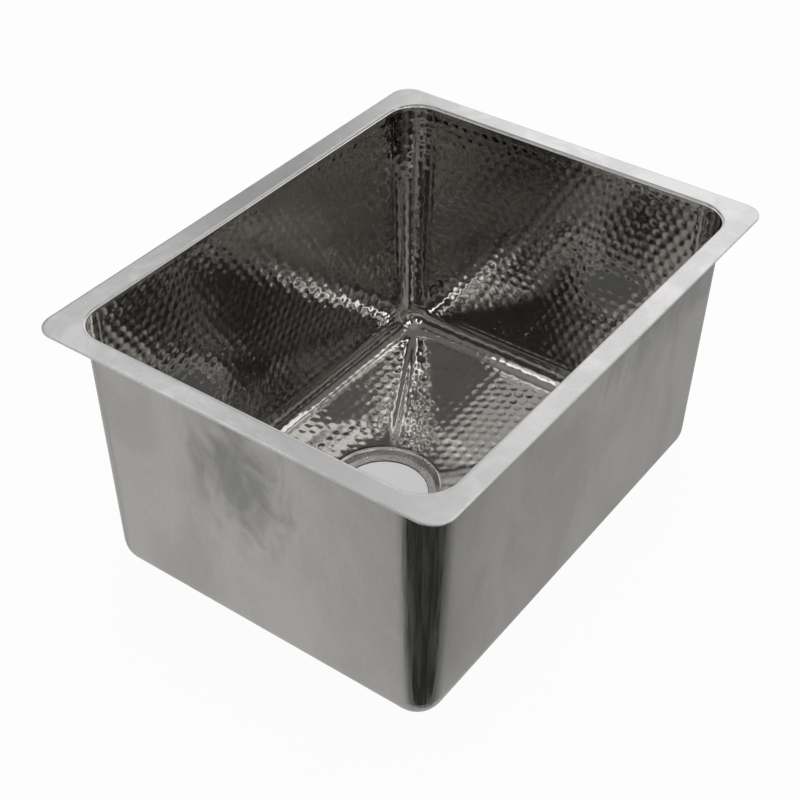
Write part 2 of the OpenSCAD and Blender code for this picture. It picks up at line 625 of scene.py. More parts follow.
def put_down(name: str, data: Any) -> bpy.types.Object:
    """Makes an object from a mesh, lamp or camera and links it to the scene.

    Args:
        name: The object's name.
        data: What it holds.

    Returns:
        The object.
    """
    made = bpy.data.objects.new(name, data)
    bpy.context.scene.collection.objects.link(made)
    return made


@dataclass
class Patch:
    """One grid of a sheet.

    Attributes:
        front: Points of the visible face, rows by columns by 3.
        facing: Direction that the visible face looks in, one or one for each point.
        behind: Points of the hidden face, behind those of the visible one.
        stride: Rows and columns of the hidden face that one of its faces spans.
        place: Place of each point on the flattened sheet, rows by columns by 2.
        marks: Depth of the hammer marks, from 0 to 1.
        edges: Sides of the grid where the sheet ends.
    """
    front: np.ndarray
    facing: np.ndarray
    behind: np.ndarray
    stride: tuple[int, int]
    place: np.ndarray
    marks: np.ndarray | float
    edges: tuple[str, ...] = ()

    def edge_strip(self, edge: str) -> tuple[np.ndarray, np.ndarray]:
        """Gives the narrow face where the sheet ends.

        Args:
            edge: first_row, last_row, first_column or last_column.

        Returns:
            The strip's points, and the direction that it looks in.
        """
        line, axis = edge.split("_")
        turn = (lambda grid: grid) if axis == "row" else (lambda grid: grid.transpose(1, 0, 2))
        front, behind = turn(self.front), turn(self.behind)
        end, inner = (0, 1) if line == "first" else (-1, -2)
        return np.stack([front[end], behind[end]]), (front[end] - front[inner]).mean(0)


class SheetMesh:
    """Collects patches into one closed sheet and makes the object.

    The visible face is as fine as its patches. The hidden face has larger faces, which keep all
    the points of their outer border, so that the sheet stays closed.
    """
    ATTRIBUTES = {"place": ("FLOAT_VECTOR", "vector"), "facing": ("FLOAT_VECTOR", "vector"),
                  "marks": ("FLOAT", "value")}

    def __init__(self, patches: list[Patch]) -> None:
        """Takes the patches, all visible faces first.

        Args:
            patches: The sheet's patches.
        """
        self._values: dict[str, list[np.ndarray]] = {"point": [], "place": [], "facing": [], "marks": []}
        self._loops: list[list[int]] = []
        self._inside: list[bool] = []
        self._count = 0
        for patch in patches:
            self._add(patch.front, patch.facing, (1, 1), True, patch.place, patch.marks)
        for patch in patches:
            self._add(patch.behind, -np.asarray(patch.facing), patch.stride, False)
            for edge in patch.edges:
                points, facing = patch.edge_strip(edge)
                self._add(points, facing, (1, 1), False)

    def _add(self, points: np.ndarray, facing: np.ndarray, stride: tuple[int, int], inside: bool,
             place: np.ndarray | None = None, marks: np.ndarray | float = 0.0) -> None:
        """Adds one grid of points and its faces.

        Args:
            points: The points, rows by columns by 3.
            facing: Direction that the face looks in, one or one for each point.
            stride: Rows and columns that one face spans.
            inside: Whether it is the visible face.
            place: Place of each point on the flattened sheet.
            marks: Depth of the hammer marks, from 0 to 1.
        """
        rows, columns = points.shape[:2]
        facing = np.broadcast_to(facing, points.shape)
        flat = np.zeros((rows, columns, 3))
        if place is not None:
            flat[..., :2] = place
        loops = self._grid_loops(rows, columns, stride)
        diagonal = points[1:, 1:] - points[:-1, :-1]
        other = points[1:, :-1] - points[:-1, 1:]
        if np.einsum("ijk,ijk->", np.cross(other, diagonal), facing[:-1, :-1]) < 0:
            loops = [loop[::-1] for loop in loops]
        self._loops += [[k + self._count for k in loop] for loop in loops]
        self._inside += [inside] * len(loops)
        self._values["point"].append(points.reshape(-1, 3))
        self._values["place"].append(flat.reshape(-1, 3))
        self._values["facing"].append(facing.reshape(-1, 3))
        self._values["marks"].append(np.broadcast_to(marks, (rows, columns)).reshape(-1))
        self._count += rows * columns

    @staticmethod
    def _grid_loops(rows: int, columns: int, stride: tuple[int, int]) -> list[list[int]]:
        """Lists a grid's faces.

        Args:
            rows: Rows of points.
            columns: Columns of points.
            stride: Rows and columns that one face spans.

        Returns:
            A loop of point numbers for each face, with all the points of the grid's border.
        """
        loops = []
        tall, wide = stride
        for row in range(0, rows - 1, tall):
            for column in range(0, columns - 1, wide):
                top, right = row + tall, column + wide
                along = range(column, right) if row == 0 else [column]
                up = range(row, top) if right == columns - 1 else [row]
                back = range(right, column, -1) if top == rows - 1 else [right]
                down = range(top, row, -1) if column == 0 else [top]
                loop = [(row, k) for k in along] + [(k, right) for k in up]
                loop += [(top, k) for k in back] + [(k, column) for k in down]
                loops.append([i * columns + j for i, j in loop])
        return loops

    def build(self, name: str) -> bpy.types.Object:
        """Merges the patches and makes the object.

        Args:
            name: The object's name.

        Returns:
            The object, linked to the scene, with the attributes that the hammer marks read.
        """
        values = {key: np.concatenate(parts) for key, parts in self._values.items()}
        _, first, number = np.unique(np.round(values["point"], 6), axis=0, return_index=True,
                                     return_inverse=True)
        number = number.reshape(-1).tolist()
        loops, inside = [], []
        for loop, skin in zip(self._loops, self._inside):
            merged = [number[k] for k in loop]
            merged = [k for k, before in zip(merged, merged[-1:] + merged[:-1]) if k != before]
            if len(merged) > 2:
                loops.append(merged)
                inside.append(skin)
        used = np.unique(np.concatenate(loops))
        renumber = np.zeros(len(first), int)
        renumber[used] = np.arange(len(used))
        kept = first[used]
        mesh = bpy.data.meshes.new(name)
        mesh.from_pydata(values["point"][kept].tolist(), [], [renumber[loop].tolist() for loop in loops])
        for key, (kind, part) in self.ATTRIBUTES.items():
            attribute = mesh.attributes.new(key, kind, "POINT")
            attribute.data.foreach_set(part, values[key][kept].astype(np.float32).ravel())
        mesh.attributes.new("inside", "BOOLEAN", "FACE").data.foreach_set("value", inside)
        return put_down(name, mesh)


@dataclass
class HammerMarks:
    """The hammer marks: shallow round dishes in staggered rows, pressed into the sheet.

    Attributes:
        pitch: Distance between marks in a row.
        row: Distance between rows.
        radius: Radius of a mark.
        depth: Depth of a mark in its middle.
        wander: How far a mark may lie from its place in the row.
        unlike: How much the depths differ, as a share.
        swell: Height of the sheet's own slow waves.
        seed: Seed of the marks' wander and depth.
    """
    pitch: float = 0.012
    row: float = 0.0101
    radius: float = 0.0058
    depth: float = 0.00023
    wander: float = 0.0009
    unlike: float = 0.5
    swell: float = 0.0004
    seed: int = 7
    tree: bpy.types.NodeTree | None = field(default=None, repr=False)

    INPUTS = {"Length": "Float", "Height": "Float", "Pitch": "Float", "Row": "Float", "Mark Radius": "Float",
              "Mark Depth": "Float", "Wander": "Float", "Unlike": "Float", "Swell": "Float", "Seed": "Int",
              "Inside Finish": "Material", "Outside Finish": "Material"}
    SWELL_SCALE = 14.0
    DISH_POWER = 1.6

    def _read(self, graph: Graph, name: str, kind: str) -> Wire:
        """Reads one of the sheet's attributes."""
        return graph.node("GeometryNodeInputNamedAttribute", {"data_type": kind}, {"Name": name}, "Attribute")

    def _random(self, graph: Graph, low: Any, high: Any, seed: Any) -> Wire:
        """Gives each point its own number between two limits."""
        inputs = {"Min_001": low, "Max_001": high, "Seed": seed}
        return graph.node("FunctionNodeRandomValue", {"data_type": "FLOAT"}, inputs, "Value_001")

    def _lattice(self, graph: Graph, given: dict[str, Wire]) -> Wire:
        """Lays out the middles of the marks, in staggered rows that wander a little.

        Args:
            graph: The graph of the marks.
            given: The tree's inputs by name.

        Returns:
            A mesh with one point for each mark, on the flattened sheet.
        """
        columns = (given["Length"] / given["Pitch"]).rounded("CEIL") + 3
        rows = (given["Height"] / given["Row"]).rounded("CEIL") + 3
        grid = graph.node("GeometryNodeMeshGrid", None, {"Vertices X": columns, "Vertices Y": rows}, "Mesh")
        index = graph.node("GeometryNodeInputIndex")
        row = index % rows
        column = (index / rows).rounded("FLOOR")
        wander_x = self._random(graph, -1.0, 1.0, given["Seed"]) * given["Wander"]
        wander_y = self._random(graph, -1.0, 1.0, given["Seed"] + 2) * given["Wander"]
        x = (column - 1 + (row % 2) * 0.5) * given["Pitch"] + wander_x
        y = (row - 1) * given["Row"] + wander_y
        spot = graph.node("ShaderNodeCombineXYZ", None, {"X": x, "Y": y})
        return graph.node("GeometryNodeSetPosition", None, {"Geometry": grid, "Position": spot})

    def build_tree(self) -> bpy.types.NodeTree:
        """Builds the node tree that presses the marks into a sheet and gives it its finishes.

        Returns:
            The tree, with one named input for each size.
        """
        tree = bpy.data.node_groups.new("hammer_marks", "GeometryNodeTree")
        tree.interface.new_socket("Geometry", in_out="INPUT", socket_type="NodeSocketGeometry")
        for name, kind in self.INPUTS.items():
            tree.interface.new_socket(name, in_out="INPUT", socket_type=f"NodeSocket{kind}")
        tree.interface.new_socket("Geometry", in_out="OUTPUT", socket_type="NodeSocketGeometry")
        graph = Graph(tree)
        entry = tree.nodes.new("NodeGroupInput")
        given = {name: Wire(graph, entry.outputs[name]) for name in ["Geometry", *self.INPUTS]}

        lattice = self._lattice(graph, given)
        place = self._read(graph, "place", "FLOAT_VECTOR")
        nearest = graph.node("GeometryNodeSampleNearest", {"domain": "POINT"},
                             {"Geometry": lattice, "Sample Position": place})
        middle = graph.node("GeometryNodeSampleIndex", {"data_type": "FLOAT_VECTOR", "domain": "POINT"},
                            {"Geometry": lattice, "Value": graph.node("GeometryNodeInputPosition"),
                             "Index": nearest})
        strength = graph.node("GeometryNodeSampleIndex", {"data_type": "FLOAT", "domain": "POINT"},
                              {"Geometry": lattice, "Index": nearest,
                               "Value": self._random(graph, 1 - given["Unlike"], 1.0, given["Seed"] + 1)})
        away = graph.node("ShaderNodeVectorMath", {"operation": "DISTANCE"}, {0: place, 1: middle}, "Value")
        reach = away / given["Mark Radius"]
        dish = (1 - reach * reach).larger(0.0) ** self.DISH_POWER
        wave = graph.node("ShaderNodeTexNoise", {"noise_dimensions": "3D"},
                          {"Scale": self.SWELL_SCALE, "Detail": 1.0})
        share = self._read(graph, "marks", "FLOAT")
        sink = share * (dish * strength * given["Mark Depth"] + wave * given["Swell"])
        offset = graph.node("ShaderNodeVectorMath", {"operation": "SCALE"},
                            {0: self._read(graph, "facing", "FLOAT_VECTOR"), "Scale": 0.0 - sink})
        shape = graph.node("GeometryNodeSetPosition", None, {"Geometry": given["Geometry"], "Offset": offset})

        shape = graph.node("GeometryNodeRealizeInstances", None, {"Geometry": shape})
        inside = self._read(graph, "inside", "BOOLEAN")
        shape = graph.node("GeometryNodeSetMaterial", None,
                           {"Geometry": shape, "Material": given["Outside Finish"]})
        shape = graph.node("GeometryNodeSetMaterial", None,
                           {"Geometry": shape, "Selection": inside, "Material": given["Inside Finish"]})
        graph.node("NodeGroupOutput", None, {0: shape})
        return tree

    def press(self, sheet: bpy.types.Object, span: tuple[float, float], inside: SteelFinish,
              outside: SteelFinish) -> bpy.types.Object:
        """Presses the marks into a sheet and leaves it a plain mesh.

        Args:
            sheet: The sheet, with its place, facing, marks and inside attributes.
            span: Length and height of the flattened sheet.
            inside: Finish of the visible face.
            outside: Finish of the rest.

        Returns:
            The same object, with its new mesh.
        """
        if self.tree is None:
            self.tree = self.build_tree()
        values = {"Length": span[0], "Height": span[1], "Pitch": self.pitch, "Row": self.row,
                  "Mark Radius": self.radius, "Mark Depth": self.depth, "Wander": self.wander,
                  "Unlike": self.unlike, "Swell": self.swell, "Seed": self.seed,
                  "Inside Finish": inside.material(), "Outside Finish": outside.material()}
        modifier = sheet.modifiers.new("hammer_marks", "NODES")
        modifier.node_group = self.tree
        for item in self.tree.interface.items_tree:
            if item.in_out == "INPUT" and item.name in values:
                modifier[item.identifier] = values[item.name]
        graph = bpy.context.evaluated_depsgraph_get()
        pressed = bpy.data.meshes.new_from_object(sheet.evaluated_get(graph))
        sheet.modifiers.clear()
        sheet.data = pressed
        for name in (*SheetMesh.ATTRIBUTES, "inside"):
            pressed.attributes.remove(pressed.attributes[name])
        self.seed += 10
        return smooth(sheet)


def smooth(piece: bpy.types.Object) -> bpy.types.Object:
    """Shades a piece smooth, apart from its sharp edges.

    Args:
        piece: The piece.

    Returns:
        The same piece.
    """
    mesh = piece.data
    mesh.polygons.foreach_set("use_smooth", [True] * len(mesh.polygons))
    mesh.set_sharp_from_angle(angle=SHARP)
    return piece


def hand_over(piece: bpy.types.Object, node: str) -> None:
    """Lets a finished piece stand for its CAD node.

    Args:
        piece: The finished piece.
        node: Name of the CAD node.
    """
    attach(piece, BODY)
    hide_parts(node)
    log.info("%s: %d faces, for %s", piece.name, len(piece.data.polygons), node)


# The bowl

@dataclass
class Bowl:
    """The welded bowl: four walls, four upright corners and the floor pan.

    Attributes:
        sizes: The sink's sizes.
        marks: The hammer marks.
        wall_step: Longest step of the walls' visible face.
        floor_step: Longest step of the floor's visible face.
        cove_step: Longest step up the floor's coved edge.
        seam: Width over which the marks run out at a seam.
        cove_marks: Depth of the marks in the cove, as a share.
        crease_flat: Distance from a crease within which the floor has no marks.
        crease_ease: Width over which the marks then come in.
        cove_ease: Width over which the marks weaken from the floor into the cove.
        drain_square: Half the side of the square in the floor's grid that holds the drain.
        coarse: Steps of the visible face that one face of the hidden side spans.
        girth: Girth of an upright corner's flat pattern, as a share of a quarter turn of the foot.
        ball_steps: Steps round each ball corner.
        surround_rows: Steps from the drain recess to the square.
    """
    sizes: SinkSizes
    marks: HammerMarks
    wall_step: float = 0.0014
    floor_step: float = 0.00142
    cove_step: float = 0.0024
    seam: float = 0.003
    cove_marks: float = 0.7
    crease_flat: float = 0.004
    crease_ease: float = 0.008
    cove_ease: float = 0.015
    drain_square: float = 0.068
    coarse: int = 8
    girth: float = 1.15
    ball_steps: int = 28
    surround_rows: int = 20

    ALL_EDGES = ("first_row", "last_row", "first_column", "last_column")

    @property
    def outside(self) -> SteelFinish:
        """Finish of the bowl's outside, with its polished corners, which carry a painted dark reflection."""
        return replace(SATIN_OUTSIDE, corner_at=self.sizes.axis)

    def build(self) -> None:
        """Builds the nine sheets and lets them stand for their CAD nodes."""
        for side in Side:
            self._build_wall(side)
        for corner in Corner:
            self._build_corner(corner)
        self._build_floor()

    def _wall_marks(self, along: np.ndarray, up: np.ndarray) -> np.ndarray:
        """Gives the depth of the marks on a wall or corner, which run out at all four seams.

        Args:
            along: Distance of each point along the flattened sheet.
            up: Distance of each point up it.

        Returns:
            A depth from 0 to 1 for each point.
        """
        ends = np.minimum(along - along.min(), along.max() - along)
        heights = np.minimum(up - up.min(), up.max() - up)
        return eased(np.minimum(ends, heights) / self.seam)

    def _build_wall(self, side: Side) -> None:
        """Builds one flat wall.

        Args:
            side: Which one.
        """
        sizes = self.sizes
        reach, run = sizes.axis[side.end_on], sizes.axis[1 - side.end_on]
        up, along = np.meshgrid(marks_out(sizes.wall_height, self.wall_step, self.coarse),
                                marks_out(2 * run, self.wall_step, self.coarse), indexing="ij")
        base = reach * side.outwards + (along - run)[..., None] * side.across
        self._build_upright(side.node, up, along, side.outwards, base, (self.coarse, self.coarse))

    def _build_corner(self, corner: Corner) -> None:
        """Builds one upright corner, a quarter of a cone.

        Args:
            corner: Which one.
        """
        sizes = self.sizes
        girth = sizes.foot * self.girth * math.pi / 2
        up, turn = np.meshgrid(marks_out(sizes.wall_height, self.wall_step, self.coarse),
                               marks_out(girth, self.wall_step, 2), indexing="ij")
        base = np.array([*(corner.signs * np.array(sizes.axis)), 0.0])
        self._build_upright(corner.node, up, turn, corner.directions(turn / girth), base, (self.coarse, 2))

    def _build_upright(self, node: str, up: np.ndarray, along: np.ndarray, outwards: np.ndarray,
                       base: np.ndarray, stride: tuple[int, int]) -> None:
        """Builds a wall or an upright corner, which leans outwards.

        Args:
            node: Name of its CAD node.
            up: Distance of each point up the flattened sheet.
            along: Distance of each point along it.
            outwards: Level direction away from the bowl, one or one for each point.
            base: Point on the corner's axis or the line between two, at level 0, likewise.
            stride: Rows and columns of the hidden face that one of its faces spans.
        """
        sizes = self.sizes
        grids = []
        for back in (0.0, sizes.sheet):
            out, level = sizes.wall_line(up, back)
            grids.append(base + out[..., None] * outwards + level[..., None] * UP)
        facing = UP * math.sin(sizes.lean) - outwards * math.cos(sizes.lean)
        patch = Patch(grids[0], facing, grids[1], stride, np.stack([along, up], -1),
                      self._wall_marks(along, up), self.ALL_EDGES)
        sheet = SheetMesh([patch]).build(f"{node}_sheet")
        span = (float(along.max()), sizes.wall_height)
        self.marks.press(sheet, span, HAMMERED_INSIDE, self.outside)
        hand_over(sheet, node)

    def _floor_patch(self, x: np.ndarray, y: np.ndarray, stride: tuple[int, int],
                     edges: tuple[str, ...] = ()) -> Patch:
        """Makes a patch of the sloping floor.

        Args:
            x: Place of each point along the length.
            y: Place of each point along the width.
            stride: Rows and columns of the hidden face that one of its faces spans.
            edges: Sides of the patch where the sheet ends.

        Returns:
            The patch.
        """
        sizes = self.sizes
        front = np.stack([x, y, sizes.floor_height(x, y)], -1)
        rim = np.hypot(x, y - sizes.drain_back) - sizes.recess_radius
        crease = sizes.floor_shares(x, y)[2] - self.crease_flat
        marks = eased(rim / self.seam) * eased(crease / self.crease_ease)
        place = np.stack([x + sizes.half_length, y + sizes.half_width], -1)
        return Patch(front, UP, front - sizes.sheet * UP, stride, place, marks, edges)

    def _cove_patch(self, arc: np.ndarray, outwards: np.ndarray, base: np.ndarray,
                    stride: tuple[int, int]) -> Patch:
        """Makes a patch of the coved edge, straight or round a corner.

        Args:
            arc: Distance along the bend of each point.
            outwards: Level direction of the bend at each point.
            base: Point of the floor where the bend starts, for each point.
            stride: Rows and columns of the hidden face that one of its faces spans.

        Returns:
            The patch, whose last row meets the wall.
        """
        sizes = self.sizes
        grids = []
        for back in (0.0, sizes.sheet):
            out, level = sizes.foot_line(arc, back)
            grids.append(base + out[..., None] * outwards + level[..., None] * UP)
        turn = (arc / sizes.foot)[..., None]
        facing = UP * np.cos(turn) - outwards * np.sin(turn)
        place = (base + arc[..., None] * outwards)[..., :2] + np.array([sizes.half_length, sizes.half_width])
        start = self.cove_marks + (1 - self.cove_marks) * (1 - eased(arc / self.cove_ease))
        marks = start * eased((sizes.foot_arc - arc) / self.seam)
        return Patch(grids[0], facing, grids[1], stride, place, marks, ("last_row",))

    def _grid_lines(self, reach: float, centre: float) -> list[np.ndarray]:
        """Divides one way across the floor into three runs, the middle one across the drain."""
        ends = [-reach, centre - self.drain_square, centre + self.drain_square, reach]
        return [low + marks_out(high - low, self.floor_step, self.coarse)
                for low, high in zip(ends, ends[1:])]

    def _build_floor(self) -> None:
        """Builds the floor pan: four slopes, a coved edge and a ball corner at each end."""
        sizes = self.sizes
        axis = sizes.axis
        lines = [self._grid_lines(axis[0], 0.0), self._grid_lines(axis[1], sizes.drain_back)]
        patches = []
        for i, run_x in enumerate(lines[0]):
            for j, run_y in enumerate(lines[1]):
                if (i, j) != (1, 1):
                    x, y = np.meshgrid(run_x, run_y, indexing="ij")
                    patches.append(self._floor_patch(x, y, (self.coarse, self.coarse)))
        patches.append(self._drain_surround(lines[0][1], lines[1][1]))

        arcs = marks_out(sizes.foot_arc, self.cove_step, 4)
        for side in Side:
            whole = np.unique(np.concatenate(lines[1 - side.end_on]).round(7))
            arc, run = np.meshgrid(arcs, whole, indexing="ij")
            base = axis[side.end_on] * side.outwards + run[..., None] * side.across
            outwards = np.broadcast_to(side.outwards, base.shape)
            patches.append(self._cove_patch(arc, outwards, base, (2, self.coarse)))
        for corner in Corner:
            arc, turn = np.meshgrid(arcs, np.linspace(0, 1, self.ball_steps + 1), indexing="ij")
            outwards = corner.directions(turn)
            base = np.broadcast_to([*(corner.signs * np.array(axis)), 0.0], outwards.shape)
            patches.append(self._cove_patch(arc, outwards, base, (2, 4)))
        pan = SheetMesh(patches).build("floor_pan_sheet")
        self.marks.press(pan, (2 * sizes.half_length, 2 * sizes.half_width), HAMMERED_INSIDE, self.outside)
        hand_over(pan, "floor_pan")

    def _drain_surround(self, run_x: np.ndarray, run_y: np.ndarray) -> Patch:
        """Makes the patch between the drain recess and the square that holds it.

        Args:
            run_x: Grid lines of the square along X.
            run_y: Grid lines of the square along Y.

        Returns:
            The patch, whose first row meets the drain cup.
        """
        sizes = self.sizes
        square = np.concatenate([
            np.stack([np.full(len(run_y) - 1, run_x[-1]), run_y[:-1]], -1),
            np.stack([run_x[:0:-1], np.full(len(run_x) - 1, run_y[-1])], -1),
            np.stack([np.full(len(run_y) - 1, run_x[0]), run_y[:0:-1]], -1),
            np.stack([run_x, np.full(len(run_x), run_y[0])], -1),
            np.stack([run_x[-1:], run_y[:1]], -1),
        ])[:4 * (len(run_x) - 1) + 1]
        centre = np.array([0.0, sizes.drain_back])
        spoke = square - centre
        circle = centre + sizes.recess_radius * spoke / np.linalg.norm(spoke, axis=1)[:, None]
        share = np.linspace(0, 1, self.surround_rows + 1)[:, None, None]
        points = circle + share * (square - circle)
        return self._floor_patch(points[..., 0], points[..., 1], (5, 4), ("first_row",))


# The rim

@dataclass
class RimFlange:
    """The rim: a flat frame with round corners, whose inner edge rolls down into the bowl.

    Attributes:
        sizes: The sink's sizes.
        edge: Radius of the dressed outer edges.
        corner_steps: Steps round each corner.
        side_steps: Steps along each side.
        flat_rows: Steps across the flat frame.
        bend_rows: Steps round the lip.
    """
    sizes: SinkSizes
    edge: float = 0.00025
    corner_steps: int = 32
    side_steps: int = 40
    flat_rows: int = 10
    bend_rows: int = 12

    def _ring(self, reach: tuple[float, float], radius: float, level: float) -> np.ndarray:
        """Gives points round a rectangle with round corners.

        Args:
            reach: Distances of the corners' centres from the middle, along X and Y.
            radius: Radius of the corners.
            level: Height of the ring.

        Returns:
            The points, the first one once more at the end.
        """
        points = []
        for corner in Corner:
            centre = np.array([*(corner.signs * np.array(reach)), level])
            arc = centre + radius * corner.directions(np.linspace(0, 1, self.corner_steps + 1))
            following = Corner((corner.value + 1) % 4)
            start = np.array([*(following.signs * np.array(reach)), level])
            start = start + radius * following.directions(np.zeros(1))[0]
            share = np.linspace(0, 1, self.side_steps + 1)[1:-1, None]
            points += [arc, arc[-1] + share * (start - arc[-1])]
        ring = np.concatenate(points)
        return np.concatenate([ring, ring[:1]])

    def _outer(self, inset: float, level: float) -> np.ndarray:
        """Gives the rim's outline.

        Args:
            inset: Distance that it is moved in.
            level: Its height.

        Returns:
            The points, the first one once more at the end.
        """
        sizes = self.sizes
        reach = (sizes.half_length - sizes.rim_corner, sizes.half_width - sizes.rim_corner)
        return self._ring(reach, sizes.rim_corner - inset, level)

    def build(self) -> None:
        """Builds the rim and lets it stand for its CAD node."""
        sizes = self.sizes
        top, under = sizes.rim_top, sizes.rim_top - sizes.sheet
        quarter = np.linspace(0, math.pi / 2, 4)
        rows = [self._outer(self.edge * (1 - math.cos(a)), top - self.edge * (1 - math.sin(a)))
                for a in quarter]
        start, end = rows[-1], self._ring(sizes.axis, sizes.lip_reach, top)
        rows += [start + share * (end - start) for share in np.linspace(0, 1, self.flat_rows + 1)[1:]]
        bend = np.linspace(math.pi / 2, math.pi - sizes.lean, self.bend_rows + 1)
        for radius, angles in ((sizes.lip, bend[1:]), (sizes.lip - sizes.sheet, bend[::-1])):
            rows += [self._ring(sizes.axis, sizes.lip_reach + radius * math.cos(a),
                                top - sizes.lip + radius * math.sin(a)) for a in angles]
        rows += [self._outer(self.edge * (1 - math.sin(a)), under + self.edge * (1 - math.cos(a)))
                 for a in quarter]
        rows.append(rows[0])
        rim = closed_grid("rim_flange_sheet", np.stack(rows), SATIN_RIM_PAINTED_LIGHT)
        hand_over(rim, "rim_flange")


def closed_grid(name: str, points: np.ndarray, finish: SteelFinish) -> bpy.types.Object:
    """Makes a closed piece from a grid whose last row and column repeat the first.

    Args:
        name: The object's name.
        points: The grid, rows by columns by 3.
        finish: The piece's finish.

    Returns:
        The piece, its faces outwards.
    """
    rows, columns = points.shape[0] - 1, points.shape[1] - 1
    number = np.arange(rows * columns).reshape(rows, columns)
    across, up = np.roll(number, -1, 1), np.roll(number, -1, 0)
    quads = np.stack([number, across, np.roll(up, -1, 1), up], -1).reshape(-1, 4)
    flat = points[:-1, :-1].reshape(-1, 3)
    corners = flat[quads]
    volume = np.einsum("ij,ij->", corners[:, 0], np.cross(corners[:, 1], corners[:, 2]))
    volume += np.einsum("ij,ij->", corners[:, 0], np.cross(corners[:, 2], corners[:, 3]))
    if volume < 0:
        quads = quads[:, ::-1]
    mesh = bpy.data.meshes.new(name)
    mesh.from_pydata(flat.tolist(), [], quads.tolist())
    mesh.materials.append(finish.material())
    return smooth(put_down(name, mesh))


# The drain cup

@dataclass
class DrainCup:
    """The drain cup: a pressed dish with a flat seat, a sloping wall and a round shoulder.

    Attributes:
        sizes: The sink's sizes.
        edge: Radius of the hole's dressed edge.
        turn_steps: Steps round the cup.
        bend_steps: Steps round each bend of its section.
    """
    sizes: SinkSizes
    edge: float = 0.0003
    turn_steps: int = 240
    bend_steps: int = 10

    def _arc(self, centre: np.ndarray, radius: float, start: float, end: float) -> list[np.ndarray]:
        """Gives points of an arc in the cup's section.

        Args:
            centre: The arc's centre.
            radius: Its radius.
            start: Angle where it starts.
            end: Angle where it ends.

        Returns:
            The points in order.
        """
        return [centre + radius * np.array([math.cos(a), math.sin(a)])
                for a in np.linspace(start, end, self.bend_steps + 1)]

    def _section(self) -> list[np.ndarray]:
        """Gives the cup's section.

        Returns:
            A loop of points, each a distance from the drain's axis and a level.
        """
        sizes, quarter = self.sizes, math.pi / 2
        slope = sizes.recess_slope
        outwards = np.array([-math.sin(slope), math.cos(slope)])
        run = np.array([math.cos(slope), math.sin(slope)])
        fall = (sizes.seat_bend + sizes.shoulder) * (1 - math.cos(slope))
        shoulder = np.array([sizes.recess_radius, sizes.drain_top - sizes.shoulder])
        length = (sizes.recess_depth - fall) / math.sin(slope)
        seat = shoulder + (sizes.shoulder + sizes.seat_bend) * outwards - length * run
        hole = np.array([sizes.drain_radius + self.edge, sizes.sheet - self.edge])
        hole_under = np.array([sizes.drain_radius + self.edge, self.edge])
        return [
            *self._arc(hole_under, self.edge, -quarter, -2 * quarter),
            *self._arc(hole, self.edge, 2 * quarter, quarter),
            *self._arc(seat, sizes.seat_bend, -quarter, slope - quarter),
            *self._arc(shoulder, sizes.shoulder, quarter + slope, quarter),
            *self._arc(shoulder, sizes.shoulder - sizes.sheet, quarter, quarter + slope),
            *self._arc(seat, sizes.seat_bend + sizes.sheet, slope - quarter, -quarter),
        ]

    def build(self) -> None:
        """Builds the cup and lets it stand for its CAD node."""
        section = self._section()
        turns = np.linspace(0, 2 * math.pi, self.turn_steps + 1)
        rows = [np.stack([u * np.cos(turns), u * np.sin(turns) + self.sizes.drain_back,
                          np.full_like(turns, level)], -1) for u, level in [*section, section[0]]]
        cup = closed_grid("drain_cup_sheet", np.stack(rows), POLISHED_CUP_PAINTED_LIGHT)
        self._paint_edge_shade(cup)
        hand_over(cup, "drain_cup")

    def _paint_edge_shade(self, cup: bpy.types.Object) -> None:
        """Gives the hole's cut edge a dark colour of painted shade.

        Args:
            cup: The cup, its faces in rows that start under the hole's edge.
        """
        # The faces round the hole's cut edge get the dark colour of painted shade.
        cup.data.materials.append(CUT_EDGE_PAINTED_SHADE.material())
        row = np.arange(len(cup.data.polygons)) // self.turn_steps
        cut = row <= 2 * self.bend_steps
        cup.data.polygons.foreach_set("material_index", cut.astype(np.int32))


# The studio

@dataclass(frozen=True)
class Panel:
    """A soft-edged patch of light or shade in the studio's surroundings.

    Attributes:
        azimuth: Compass angle of its middle from X, in degrees.
        half: Half its width in degrees, 180 for all the way round.
        fringe: Width of its soft sides in degrees.
        low: Elevation of its lower edge in degrees.
        high: Elevation of its upper edge in degrees, 90 for none.
        soft: Width of its soft lower and upper edges in degrees.
        strength: What it adds, or takes away where it is negative.
    """
    azimuth: float
    half: float
    fringe: float
    low: float
    high: float
    soft: float
    strength: float

    def share(self, graph: ShaderGraph, direction: Wire, level: Wire, reach: Wire) -> Wire:
        """Gives how far a direction lies in the panel.

        Args:
            graph: The world's graph.
            direction: Direction looked in.
            level: Its upright part.
            reach: Length of its level part.

        Returns:
            A value from 0 outside to 1 inside.
        """
        share = level.between(*(math.sin(math.radians(e)) for e in (self.low - self.soft, self.low)))
        if self.high < 90:
            edges = (math.sin(math.radians(e)) for e in (self.high, self.high + self.soft))
            share = share * (1 - level.between(*edges))
        if self.half < 180:
            turn = math.radians(self.azimuth)
            ahead = graph.node("ShaderNodeVectorMath", {"operation": "DOT_PRODUCT"},
                               {0: direction, 1: (math.cos(turn), math.sin(turn), 0.0)}, "Value") / reach
            edges = (math.cos(math.radians(a)) for a in (self.half + self.fringe, self.half))
            share = share * ahead.between(*edges)
        return share


@dataclass(frozen=True)
class Card:
    """A flat card that only the metal's gloss sees, as a studio's flags and boards are used.

    Attributes:
        name: The card's name.
        level: Its height over the floor.
        corners: Its four corners, along X and Y.
        strength: Its brightness.
    """
    name: str
    level: float
    corners: tuple[tuple[float, float], ...]
    strength: float


